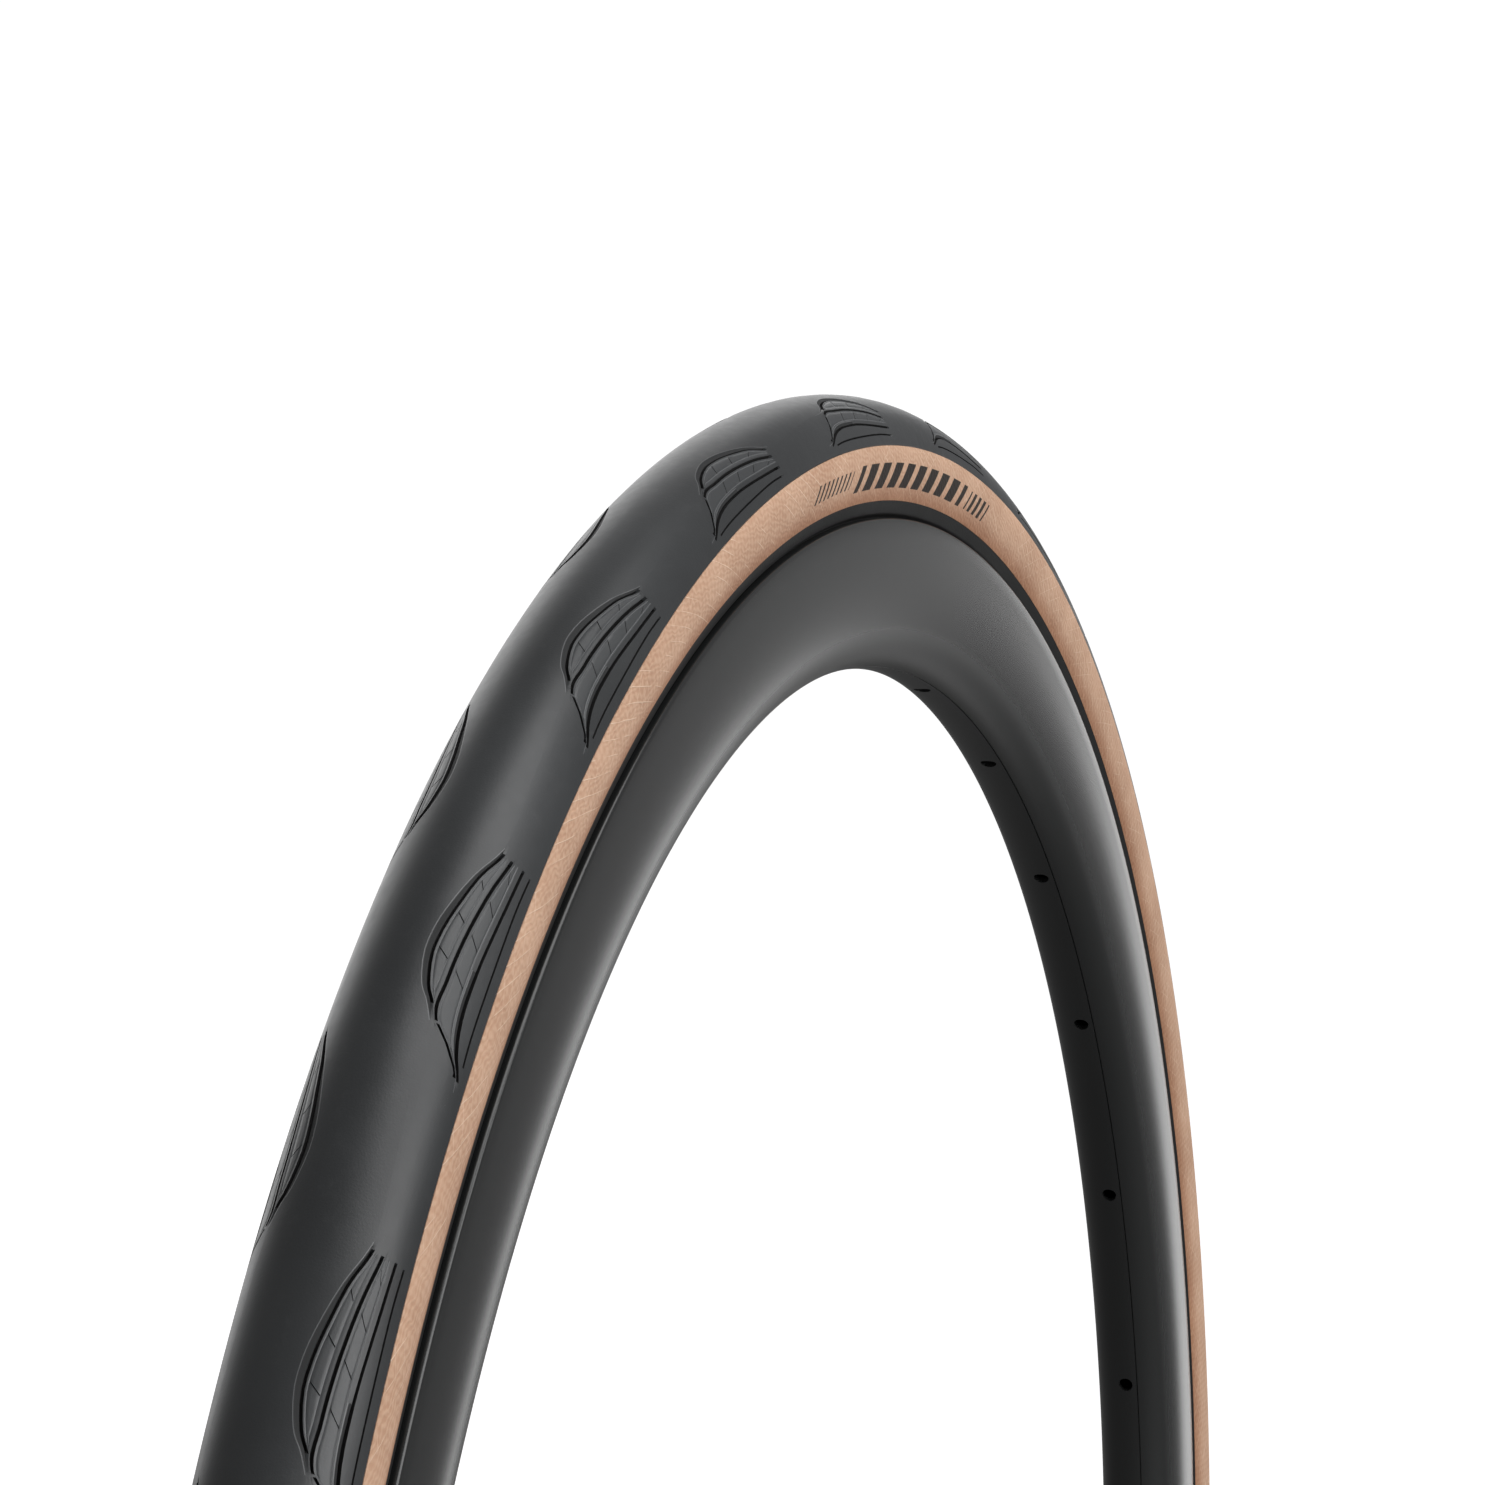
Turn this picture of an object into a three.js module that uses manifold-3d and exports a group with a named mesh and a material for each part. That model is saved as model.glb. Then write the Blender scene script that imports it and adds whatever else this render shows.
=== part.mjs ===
// Bicycle tyre 28-622, inflated on its deep hollow rim, with the rim tape and a tubeless valve.
// Millimetres. The wheel axis is +Y, +Z is up, and the origin is the centre of the wheel.
// Sections are drawn as [radius from the wheel axis, distance from the centre plane].
import * as THREE from 'three';
import { mergeVertices } from 'three/addons/utils/BufferGeometryUtils.js';
import Module from 'manifold-3d';

const wasm = await Module();
wasm.setup();

// Driving dimensions
const TYRE_RADIUS = 340;
const SECTION_RADIUS = 13.68;
const SEAT_RADIUS = 311;
const RIM_INNER_RADIUS = 280.2;
const RIM_HALF_WIDTH = 11.9;
const CHANNEL_HALF_WIDTH = 9.5;
const RIM_WALL = 1.7;
const SPOKE_COUNT = 28;
const SPOKE_HOLE_RADIUS = 2;
const ACCESS_HOLE_RADIUS = 3.8;
const STEM_RADIUS = 2.9;
const STEM_BORE = 1.9;
const NECK_RADIUS = 2;
const VALVE_ANGLE = 270;
const GAP = 0.3;
const SLIDING_GAP = 0.4;

// Steps around the wheel, around the valve and around a drilled hole
const RING_STEPS = 40;
const VALVE_STEPS = 16;
const HOLE_STEPS = 6;

// Layer thicknesses of the tyre
const TREAD_CROWN = 2.2;
const BREAKER = 0.6;
const CASING = 0.8;
const LINER = 0.4;
const WALL_SKIN = 0.9;
const CHAFER = 0.6;
const BEAD_FOLD = 0.6;

// The narrow flat that touches the road, and angles around the section measured from the crown
const ROAD_FLAT = [TYRE_RADIUS, 1.9];
const TREAD_EDGE = 78.5;
const WALL_TOP = 79.8;

// Lower sidewall: it leaves the round section at its widest point and tucks in behind the flange
const SECTION_CENTRE = TYRE_RADIUS - SECTION_RADIUS;
const WALL_SAG = 0.0239;
const WALL_MIDDLE = 321.5;
const TAN_EDGE = 317;
const BEAD_HEEL = [SEAT_RADIUS + GAP, CHANNEL_HALF_WIDTH - GAP];
const BEAD_SHOULDER = [SEAT_RADIUS + 3.2, CHANNEL_HALF_WIDTH - GAP];
const BEAD_TOE = [SEAT_RADIUS + GAP, 4.6];

// Drop channel of the rim, the tape in it, and the reach of the drills from the wheel axis
const CHANNEL_BOTTOM = SEAT_RADIUS - 2.4;
const TAPE_THICKNESS = 0.4;
const TAPE_HALF_WIDTH = 3;
const TAPE_TOP = CHANNEL_BOTTOM + GAP + TAPE_THICKNESS;
const THROUGH_RIM = [270, 320];
const THROUGH_BED = [270, 290];
const THROUGH_CHANNEL = [304, 320];

const material = (color, roughness, metalness = 0) =>
  new THREE.MeshStandardMaterial({ color, roughness, metalness });
const treadRubber = material(0x3b3c3e, 0.72);
const tanSkin = material(0xb8967e, 0.85);
const blackRubber = material(0x1d1d1e, 0.8);
const wovenPly = material(0x6d5c4c, 0.9);
const aramid = material(0xc9a646, 0.7);
const carbon = material(0x2a2b2d, 0.35);
const tapeBlue = material(0x2f4f6b, 0.5);
const brass = material(0xb5954f, 0.35, 1);
const blackMetal = material(0x202124, 0.4, 1);

const wheel = new THREE.Group();

function addPiece(name, geometry, look) {
  const mesh = new THREE.Mesh(geometry, look);
  mesh.name = name;
  wheel.add(mesh);
}

// A point of the tyre's round section, and one of its lower sidewall
function onArc(degrees) {
  const angle = THREE.MathUtils.degToRad(degrees);
  return [SECTION_CENTRE + SECTION_RADIUS * Math.cos(angle), SECTION_RADIUS * Math.sin(angle)];
}

function onWall(radius) {
  return [radius, SECTION_RADIUS - WALL_SAG * (SECTION_CENTRE - radius) ** 2];
}

const mirrored = (line) => line.map(([r, y]) => [r, -y]);
const bothSides = (half) => [...mirrored(half).reverse(), ...half];

// Moves an open line towards the section's inside, by one depth for each of its points
function inset(line, depths) {
  return line.map((point, i) => {
    const before = line[Math.max(i - 1, 0)];
    const after = line[Math.min(i + 1, line.length - 1)];
    const normals = [[before, point], [point, after]]
      .filter(([a, b]) => a !== b)
      .map(([a, b]) => new THREE.Vector2(a[1] - b[1], b[0] - a[0]).normalize());
    const first = normals[0];
    const last = normals[normals.length - 1];
    const mitre = first.clone().add(last).normalize();
    const reach = depths[i] / mitre.dot(first);
    return [point[0] + mitre.x * reach, point[1] + mitre.y * reach];
  });
}

// The band between two depths below a line of the section
function band(line, outerDepths, innerDepths) {
  return [...inset(line, outerDepths), ...inset(line, innerDepths).reverse()];
}

function signedArea(outline) {
  const points = outline.map(([r, y]) => new THREE.Vector2(r, y));
  return THREE.ShapeUtils.area(points);
}

// Turns a closed outline once around the wheel axis. The flats, not the corners, lie at the
// stated radius, so the tyre's own radius is reached at the top, bottom, front and back.
function wheelRing(outline) {
  const grow = 1 / Math.cos(Math.PI / RING_STEPS);
  const ordered = signedArea(outline) > 0 ? outline : [...outline].reverse();
  const points = [...ordered, ordered[0]].map(([r, y]) => new THREE.Vector2(r * grow, y));
  return new THREE.LatheGeometry(points, RING_STEPS, Math.PI / RING_STEPS);
}

// Turns an outline of [radius, height] around the valve axis, which points at the wheel centre.
// An outline that neither starts nor ends on the axis is closed on itself.
function valveTurning(outline) {
  const onAxis = outline[0][0] === 0;
  const points = outline.map(([r, height]) => new THREE.Vector2(r, height));
  if (!onAxis) points.push(points[0].clone());
  return new THREE.LatheGeometry(points, VALVE_STEPS).rotateX(Math.PI / 2);
}

// A sleeve around the valve axis between two radii and two distances from the wheel centre
function valveSleeve(inner, outer, farRadius, nearRadius) {
  return valveTurning([
    [inner, -farRadius], [outer, -farRadius], [outer, -nearRadius], [inner, -nearRadius],
  ]);
}

function toSolid(geometry) {
  const bare = geometry.clone();
  bare.deleteAttribute('normal');
  bare.deleteAttribute('uv');
  const merged = mergeVertices(bare);
  return new wasm.Manifold(new wasm.Mesh({
    numProp: 3,
    vertProperties: new Float32Array(merged.attributes.position.array),
    triVerts: new Uint32Array(merged.index.array),
  }));
}

function toGeometry(solid) {
  const { numProp, vertProperties, triVerts } = solid.getMesh();
  const geometry = new THREE.BufferGeometry();
  const positions = new Float32Array((vertProperties.length / numProp) * 3);
  for (let i = 0; i < positions.length / 3; i += 1) {
    positions.set(vertProperties.subarray(i * numProp, i * numProp + 3), i * 3);
  }
  geometry.setAttribute('position', new THREE.BufferAttribute(positions, 3));
  geometry.setIndex(new THREE.BufferAttribute(new Uint32Array(triVerts), 1));
  geometry.computeVertexNormals();
  return geometry;
}

// A drill along the wheel's radius at an angle from +X, between two distances from the centre
function radialDrill(degrees, radius, [from, to], steps = HOLE_STEPS) {
  const drill = new THREE.CylinderGeometry(radius, radius, to - from, steps);
  drill.rotateZ(-Math.PI / 2);
  drill.translate((from + to) / 2, 0, 0);
  drill.rotateY(-THREE.MathUtils.degToRad(degrees));
  return toSolid(drill);
}

// Tyre: tread, breaker strip, casing and liner run from side to side
function buildTyreBody() {
  const treadLine = bothSides([ROAD_FLAT, ...[32, 56, TREAD_EDGE].map(onArc)]);
  const treadDepths = [1, 2, TREAD_CROWN, TREAD_CROWN, TREAD_CROWN, TREAD_CROWN, 2, 1];
  const surface = treadLine.map(() => 0);
  addPiece('tread', wheelRing(band(treadLine, surface, treadDepths)), treadRubber);

  const breakerTop = TREAD_CROWN + GAP;
  const breakerLine = bothSides([ROAD_FLAT, ...[32, 50].map(onArc)]);
  addPiece('breaker_strip', wheelRing(band(
    breakerLine,
    breakerLine.map(() => breakerTop),
    breakerLine.map(() => breakerTop + BREAKER),
  )), aramid);

  const casingTop = breakerTop + BREAKER + GAP;
  const casingLine = bothSides([
    ROAD_FLAT, ...[32, 56, 79, 92].map(onArc),
    onWall(WALL_MIDDLE), onWall(TAN_EDGE), BEAD_SHOULDER, BEAD_HEEL, BEAD_TOE,
  ]);
  const wallDepth = WALL_SKIN + GAP;
  const beadDepth = CHAFER + GAP;
  const halfDepths = [
    casingTop, casingTop, casingTop, wallDepth + 0.2, wallDepth,
    wallDepth, wallDepth, beadDepth, beadDepth, beadDepth,
  ];
  const casingDepths = [...halfDepths].reverse().concat(halfDepths);
  const casingInside = casingDepths.map((depth) => depth + (depth === beadDepth ? BEAD_FOLD : CASING));
  addPiece('casing_ply', wheelRing(band(casingLine, casingDepths, casingInside)), wovenPly);

  const linerTop = casingTop + CASING + 0.7;
  const linerLine = bothSides([
    ROAD_FLAT, ...[45, 80].map(onArc), onWall(WALL_MIDDLE), onWall(317.5),
  ]);
  const halfLiner = [linerTop, linerTop, 3, 2.5, 2.5];
  const linerDepths = [...halfLiner].reverse().concat(halfLiner);
  const linerInside = linerDepths.map((depth) => depth + LINER);
  addPiece('inner_liner', wheelRing(band(linerLine, linerDepths, linerInside)), blackRubber);
}

// Tyre: sidewall skin, rim strip and bead core of one side
function buildTyreSide(side, flip) {
  const wallLine = [onArc(WALL_TOP), onArc(92), onWall(WALL_MIDDLE), onWall(TAN_EDGE + GAP / 2)];
  const wall = band(wallLine, wallLine.map(() => 0), wallLine.map(() => WALL_SKIN));
  addPiece(`sidewall_skin_${side}`, wheelRing(flip(wall)), tanSkin);

  const chaferLine = [onWall(TAN_EDGE - GAP / 2), BEAD_SHOULDER, BEAD_HEEL, BEAD_TOE];
  const chafer = band(chaferLine, chaferLine.map(() => 0), chaferLine.map(() => CHAFER));
  addPiece(`rim_strip_${side}`, wheelRing(flip(chafer)), blackRubber);

  const coreBottom = SEAT_RADIUS + 2.1;
  const core = [
    [coreBottom, 5], [coreBottom, 7.3], [coreBottom + 1.4, 7.3], [coreBottom + 2.2, 6.4],
    [coreBottom + 1.8, 5],
  ];
  addPiece(`bead_core_${side}`, wheelRing(flip(core)), aramid);
}

// Rim: a hollow body under two hooked flanges, drilled for the spokes and for the valve
function buildRim() {
  const floor = [[CHANNEL_BOTTOM, 3.4], [SEAT_RADIUS, 4.4]];
  const nose = [
    [303, RIM_HALF_WIDTH], [296, 11.2], [290.3, 10.1], [285.25, 8.75], [281.55, 5.05],
    [RIM_INNER_RADIUS, 1.8],
  ];
  const flange = [
    [SEAT_RADIUS, CHANNEL_HALF_WIDTH], [SEAT_RADIUS + 2.9, CHANNEL_HALF_WIDTH],
    [SEAT_RADIUS + 3.4, 10.6], [SEAT_RADIUS + 2.2, RIM_HALF_WIDTH],
  ];
  const outline = bothSides([...floor, ...flange, ...nose]);
  const box = [...floor, [SEAT_RADIUS, RIM_HALF_WIDTH], ...nose];
  const boxLoop = bothSides(box);
  const closedLoop = [boxLoop[boxLoop.length - 1], ...boxLoop, boxLoop[0]];
  const cavity = inset(closedLoop, closedLoop.map(() => RIM_WALL)).slice(1, -1);

  const pitch = 360 / SPOKE_COUNT;
  const drills = [radialDrill(VALVE_ANGLE, STEM_RADIUS + SLIDING_GAP, THROUGH_RIM, VALVE_STEPS)];
  for (let i = 0; i < SPOKE_COUNT; i += 1) {
    const angle = VALVE_ANGLE + pitch * (i + 0.5);
    drills.push(radialDrill(angle, SPOKE_HOLE_RADIUS, THROUGH_BED));
    drills.push(radialDrill(angle, ACCESS_HOLE_RADIUS, THROUGH_CHANNEL));
  }
  let rim = toSolid(wheelRing(outline)).subtract(toSolid(wheelRing(cavity)));
  for (const drill of drills) rim = rim.subtract(drill);
  addPiece('rim', toGeometry(rim), carbon);
}

// Rim tape: it covers the drop channel and the access holes, and is pierced for the valve
function buildTape() {
  const bottom = TAPE_TOP - TAPE_THICKNESS;
  const edge = TAPE_HALF_WIDTH;
  const strip = wheelRing([[bottom, -edge], [bottom, edge], [TAPE_TOP, edge], [TAPE_TOP, -edge]]);
  const hole = radialDrill(VALVE_ANGLE, NECK_RADIUS + SLIDING_GAP, THROUGH_CHANNEL, VALVE_STEPS);
  addPiece('rim_tape', toGeometry(toSolid(strip).subtract(hole)), tapeBlue);
}

// Valve: distances are measured from the wheel centre, so the tip has the smallest one
const STEM_TIP = 246;
const CORE_TOP = STEM_TIP - 4;
const NUT_LIFT = 2.6;
const CORE_POCKET = 22;
const CORE_LENGTH = 12;
const AIRWAY_RADIUS = 1.2;
const CORE_BORE = 0.8;
const HEAD_LIFT = 4.2;
const HEAD_RADIUS = 3.4;
const FLANGE_THICKNESS = 0.8;
const RING_THICKNESS = 1.2;
const RING_RADIUS = 4.6;
const SEAL_THICKNESS = 1.4;

function buildValveStem() {
  const shoulder = SEAT_RADIUS - 3;
  const head = TAPE_TOP + HEAD_LIFT;
  const headTop = head + FLANGE_THICKNESS;
  const pocketEnd = STEM_TIP + CORE_POCKET;
  addPiece('valve_stem', valveTurning([
    [AIRWAY_RADIUS, -headTop], [HEAD_RADIUS, -headTop], [HEAD_RADIUS, -head],
    [NECK_RADIUS, -head], [NECK_RADIUS, -shoulder],
    [STEM_RADIUS, -shoulder], [STEM_RADIUS, -STEM_TIP], [STEM_BORE, -STEM_TIP],
    [STEM_BORE, -pocketEnd], [AIRWAY_RADIUS, -pocketEnd],
  ]), brass);
  addPiece('valve_plug', valveTurning([
    [NECK_RADIUS + GAP, -head + GAP], [3.6, -head + GAP], [4.3, -TAPE_TOP - 1.6],
    [3.6, -TAPE_TOP - GAP], [NECK_RADIUS + GAP, -TAPE_TOP - GAP],
  ]), blackRubber);
}

function buildLockNut() {
  const clear = STEM_RADIUS + SLIDING_GAP;
  const seat = RIM_INNER_RADIUS - GAP;
  const ringBottom = seat - RING_THICKNESS;
  const nutBottom = ringBottom - GAP;
  addPiece('lock_nut_ring', valveSleeve(clear, RING_RADIUS, seat, ringBottom), blackRubber);
  addPiece('lock_nut', valveTurning([
    [clear, -nutBottom], [5.6, -nutBottom], [5.6, -nutBottom + 3.4], [4.6, -nutBottom + 4.6],
    [clear, -nutBottom + 4.6],
  ]), blackMetal);
}

function buildValveCore() {
  const bodyEnd = STEM_TIP + CORE_LENGTH;
  addPiece('core_body', valveTurning([
    [CORE_BORE, -bodyEnd], [1.6, -bodyEnd], [1.6, -STEM_TIP + GAP], [2.5, -STEM_TIP + GAP],
    [2.5, -CORE_TOP - 1.6], [1.7, -CORE_TOP], [CORE_BORE, -CORE_TOP],
  ]), brass);
  const sealBottom = bodyEnd + GAP;
  const sealTop = sealBottom + SEAL_THICKNESS;
  addPiece('core_seal', valveSleeve(CORE_BORE, 1.5, sealTop, sealBottom), blackRubber);
  const foot = sealTop + GAP;
  const footTop = foot + FLANGE_THICKNESS;
  const pinTip = CORE_TOP - NUT_LIFT - 4.6;
  addPiece('core_pin', valveTurning([
    [0, -footTop], [1.3, -footTop], [1.3, -foot], [0.5, -foot], [0.5, -pinTip], [0, -pinTip],
  ]), brass);
  const nutBottom = CORE_TOP - NUT_LIFT;
  addPiece('core_nut', valveSleeve(CORE_BORE, 2, nutBottom, nutBottom - 3), brass);
}

function buildDustCap() {
  const mouth = STEM_TIP + 8;
  const inside = CORE_TOP - NUT_LIFT - 6;
  const bore = STEM_RADIUS + SLIDING_GAP;
  addPiece('dust_cap', valveTurning([
    [0, -inside], [2.5, -inside], [bore, -CORE_TOP], [bore, -mouth], [4.1, -mouth],
    [4.1, -CORE_TOP + 1], [3, -inside + 1.2], [0, -inside + 1.2],
  ]), blackMetal);
}

buildTyreBody();
buildTyreSide('near', mirrored);
buildTyreSide('far', (outline) => outline);
buildRim();
buildTape();
buildValveStem();
buildLockNut();
buildValveCore();
buildDustCap();

export default wheel;
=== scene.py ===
"""Bicycle tyre 28-622, inflated on a deep hollow rim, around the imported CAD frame.

Lengths are in metres. The wheel axis is Y, Z is up and the origin is the wheel's centre.
Sections are drawn as (radius from the wheel axis, distance from the centre plane).
"""
import math
from collections import namedtuple

import bpy
import numpy as np
from mathutils import Matrix, Vector


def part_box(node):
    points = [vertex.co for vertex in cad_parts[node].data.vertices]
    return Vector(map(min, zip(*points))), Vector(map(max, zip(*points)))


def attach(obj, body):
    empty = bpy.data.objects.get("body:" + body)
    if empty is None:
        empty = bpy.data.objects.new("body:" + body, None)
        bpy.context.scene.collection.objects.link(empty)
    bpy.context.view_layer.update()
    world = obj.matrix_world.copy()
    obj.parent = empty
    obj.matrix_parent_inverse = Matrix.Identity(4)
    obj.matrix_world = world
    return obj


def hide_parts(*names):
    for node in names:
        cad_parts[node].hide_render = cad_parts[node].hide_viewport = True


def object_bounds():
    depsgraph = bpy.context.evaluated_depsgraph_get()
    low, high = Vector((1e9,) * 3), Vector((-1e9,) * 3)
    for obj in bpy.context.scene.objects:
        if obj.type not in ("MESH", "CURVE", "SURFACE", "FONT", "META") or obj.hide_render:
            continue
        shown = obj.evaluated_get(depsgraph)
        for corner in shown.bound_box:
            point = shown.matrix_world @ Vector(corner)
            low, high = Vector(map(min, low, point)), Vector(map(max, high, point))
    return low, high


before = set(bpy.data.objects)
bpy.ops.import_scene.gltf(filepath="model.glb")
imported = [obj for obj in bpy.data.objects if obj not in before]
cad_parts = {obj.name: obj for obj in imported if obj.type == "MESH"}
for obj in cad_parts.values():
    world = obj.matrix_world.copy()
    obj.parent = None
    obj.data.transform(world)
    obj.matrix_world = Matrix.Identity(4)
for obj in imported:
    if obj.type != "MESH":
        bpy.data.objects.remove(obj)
cad_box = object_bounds()
for name in ("Cube", "Light", "Camera"):
    if name in bpy.data.objects:
        bpy.data.objects.remove(bpy.data.objects[name])

MM = 0.001

# Sizes of the tyre and rim, from the frame
TYRE_RADIUS = cad_box[1].z
SECTION_RADIUS = 13.68 * MM
SECTION_CENTRE = TYRE_RADIUS - SECTION_RADIUS
SEAT_RADIUS = 311 * MM
NOSE_RADIUS = 10.1 * MM
NOSE_CENTRE = 290.3 * MM
NOSE_START = math.radians(15)
RIM_WIDEST_RADIUS = 309 * MM
RIM_HALF_WIDTH = 11.9 * MM
CHANNEL_HALF_WIDTH = 9.5 * MM
TREAD_EDGE = math.radians(79.1)
WALL_SAG = 23.9
TAN_EDGE = 317 * MM
SPOKE_COUNT = 28

# Moulded pattern: motifs around the tyre, with a pitch that swings a little
MOTIF_COUNT = 28
MOTIF_CENTRE = 110.3
PITCH_SWING = 1.114
MOTIF_SPAN = 13.1
FAR_SHIFT = 0.5


def mesh_object(name, verts, faces, uvs=None, uv_names=("ring",)):
    """A smooth mesh from arrays: verts (n, 3), faces (m, 4) and uvs as loop arrays (m * 4, 2)."""
    mesh = bpy.data.meshes.new(name)
    mesh.vertices.add(len(verts))
    mesh.vertices.foreach_set("co", np.asarray(verts, np.float32).ravel())
    mesh.loops.add(faces.size)
    mesh.loops.foreach_set("vertex_index", faces.astype(np.int32).ravel())
    mesh.polygons.add(len(faces))
    mesh.polygons.foreach_set("loop_start", np.arange(0, faces.size, 4, dtype=np.int32))
    mesh.polygons.foreach_set("loop_total", np.full(len(faces), 4, np.int32))
    mesh.polygons.foreach_set("use_smooth", np.ones(len(faces), bool))
    for uv_name, values in zip(uv_names, uvs or []):
        layer = mesh.uv_layers.new(name=uv_name)
        layer.data.foreach_set("uv", np.asarray(values, np.float32).ravel())
    mesh.update(calc_edges=True)
    mesh.validate()
    obj = bpy.data.objects.new(name, mesh)
    bpy.context.scene.collection.objects.link(obj)
    return obj


def grid_faces(rows, columns, close_rows=True, close_columns=True):
    """Quads of a grid of rows x columns vertices, closed or open in each direction."""
    i, j = np.meshgrid(
        np.arange(rows if close_rows else rows - 1),
        np.arange(columns if close_columns else columns - 1),
        indexing="ij",
    )
    i, j = i.ravel(), j.ravel()
    i2, j2 = (i + 1) % rows, (j + 1) % columns
    faces = np.stack([i * columns + j, i * columns + j2, i2 * columns + j2, i2 * columns + j], 1)
    return faces, i, j


def around(r, y, angles):
    """Points at radius r and offset y for each angle; r and y are (rows, columns)."""
    cos, sin = np.cos(angles)[:, None], np.sin(angles)[:, None]
    return np.stack([r * cos, y + 0 * cos, r * sin], -1).reshape(-1, 3)


def ring(name, outline, steps=720, faceted_angle=35):
    """Turns a closed outline once around the wheel axis. The "ring" UV map is millimetres along and
    across the surface, and the "polar" one is degrees around the axis and radius in millimetres."""
    outline = np.asarray(outline, float)
    r, y = outline[:, 0], outline[:, 1]
    if np.sum(r * np.roll(y, -1) - np.roll(r, -1) * y) < 0:
        outline = outline[::-1]
        r, y = outline[:, 0], outline[:, 1]
    angles = np.linspace(0, 2 * math.pi, steps, endpoint=False)
    verts = around(np.tile(r, (steps, 1)), np.tile(y, (steps, 1)), angles)
    faces, i, j = grid_faces(steps, len(outline))
    along = 2 * math.pi * r.max() / MM / steps
    length = np.hypot(*(np.roll(outline, -1, 0) - outline).T) / MM
    across = np.concatenate([[0], np.cumsum(length)])
    u = np.stack([i, i, i + 1, i + 1], 1) * along
    v = np.stack([across[j], across[j + 1], across[j + 1], across[j]], 1)
    radius = np.stack([r[j], r[(j + 1) % len(r)], r[(j + 1) % len(r)], r[j]], 1) / MM
    obj = mesh_object(
        name, verts, faces,
        [np.stack([u, v], -1), np.stack([u / along / steps * 360, radius], -1)],
        ("ring", "polar"),
    )
    obj.data.set_sharp_from_angle(angle=math.radians(faceted_angle))
    return obj


def fillet(points, radii, steps=5):
    """Rounds the corners of an open line of points; a radius of 0 keeps its corner."""
    line = [points[0]]
    for before, corner, after, radius in zip(points, points[1:], points[2:], radii):
        if radius == 0:
            line.append(corner)
            continue
        a, b, c = (np.array(p, float) for p in (before, corner, after))
        to_a, to_c = (a - b) / np.linalg.norm(a - b), (c - b) / np.linalg.norm(c - b)
        half = math.acos(np.clip(to_a @ to_c, -1, 1)) / 2
        reach = radius / math.tan(half)
        middle = b + (to_a + to_c) / np.linalg.norm(to_a + to_c) * radius / math.sin(half)
        start, end = b + to_a * reach - middle, b + to_c * reach - middle
        turn = math.atan2(start[0] * end[1] - start[1] * end[0], start @ end)
        for k in range(steps + 1):
            a = turn * k / steps
            rot = np.array([[math.cos(a), -math.sin(a)], [math.sin(a), math.cos(a)]])
            line.append(tuple(middle + rot @ start))
    return line + [points[-1]]


def thick(line, depth):
    """A closed band of one depth on the inner side of a line."""
    line = np.asarray(line, float)
    step = np.gradient(line, axis=0)
    normal = np.stack([-step[:, 1], step[:, 0]], 1)
    normal /= np.linalg.norm(normal, axis=1)[:, None]
    return np.concatenate([line, (line + normal * depth)[::-1]])


def mirrored(outline):
    return [(r, -y) for r, y in outline]


def place(obj, body, slot, material, *nodes):
    """Gives a piece its body, its material and the CAD nodes it stands for; the slot is not used."""
    obj.data.materials.clear()
    obj.data.materials.append(material)
    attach(obj, body)
    if nodes:
        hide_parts(*nodes)
    return obj


# ---------------------------------------------------------------- materials


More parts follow.
